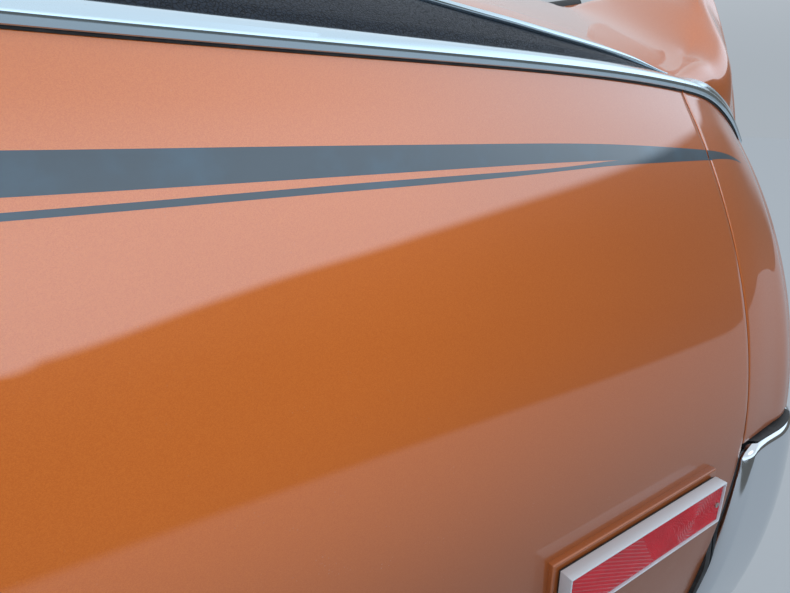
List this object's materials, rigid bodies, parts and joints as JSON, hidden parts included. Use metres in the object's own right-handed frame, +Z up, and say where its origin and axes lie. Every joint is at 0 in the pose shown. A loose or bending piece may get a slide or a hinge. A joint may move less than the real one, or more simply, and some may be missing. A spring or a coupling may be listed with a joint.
{
  "type": "rear quarter panel assembly",
  "caption": "Left rear quarter of a two-door coupe body: outer panel with wheelhouse, sail panel, end extension, belt trim, side marker lamp and chrome bumper end.",
  "frame": {"origin": "centre of the four bolt holes in the flat inboard wall of the inner wheelhouse, straight above the axle", "axes": "+X rearward along the body, +Y inboard, +Z up"},
  "size_m": [1.799, 0.342, 1.045],
  "materials": {
    "body_paint": "metallic orange under gloss clear coat, with black side stripes",
    "inner_paint": "thin satin overspray on the inner sheets",
    "vinyl": "grained satin vinyl",
    "bright_trim": "polished stainless",
    "chrome": "bright plate",
    "zinc_steel": "zinc plated",
    "rubber": "matt black",
    "red_lens": "ribbed translucent red",
    "socket_plastic": "moulded black"
  },
  "bodies": {
    "root": {"quarter_skin": "body_paint", "quarter_extension": "body_paint", "marker_pad": "body_paint", "sail_panel": "body_paint", "arch_hem": "inner_paint", "inner_wheelhouse": "inner_paint", "outer_wheelhouse": "inner_paint", "lock_pillar": "inner_paint", "rocker_end": "inner_paint", "drop_floor": "inner_paint", "front_brace": "inner_paint", "middle_brace": "inner_paint", "rear_brace": "inner_paint", "tail_panel": "inner_paint", "belt_doubler": "inner_paint", "deck_gutter": "inner_paint", "bumper_arm": "inner_paint", "sail_vinyl": "vinyl", "vinyl_wedge": "vinyl", "belt_moulding": "bright_trim", "belt_moulding_rear": "bright_trim", "divider_moulding": "bright_trim", "bumper_end": "chrome", "marker_bezel": "chrome", "bumper_bolt": "chrome", "door_striker": "zinc_steel", "marker_screws": "zinc_steel", "extension_seal": "rubber", "window_seal": "rubber", "gutter_rubber": "rubber", "marker_gasket": "rubber", "bumper_filler": "rubber", "marker_lens": "red_lens", "marker_socket": "socket_plastic"}
  },
  "joints": []
}
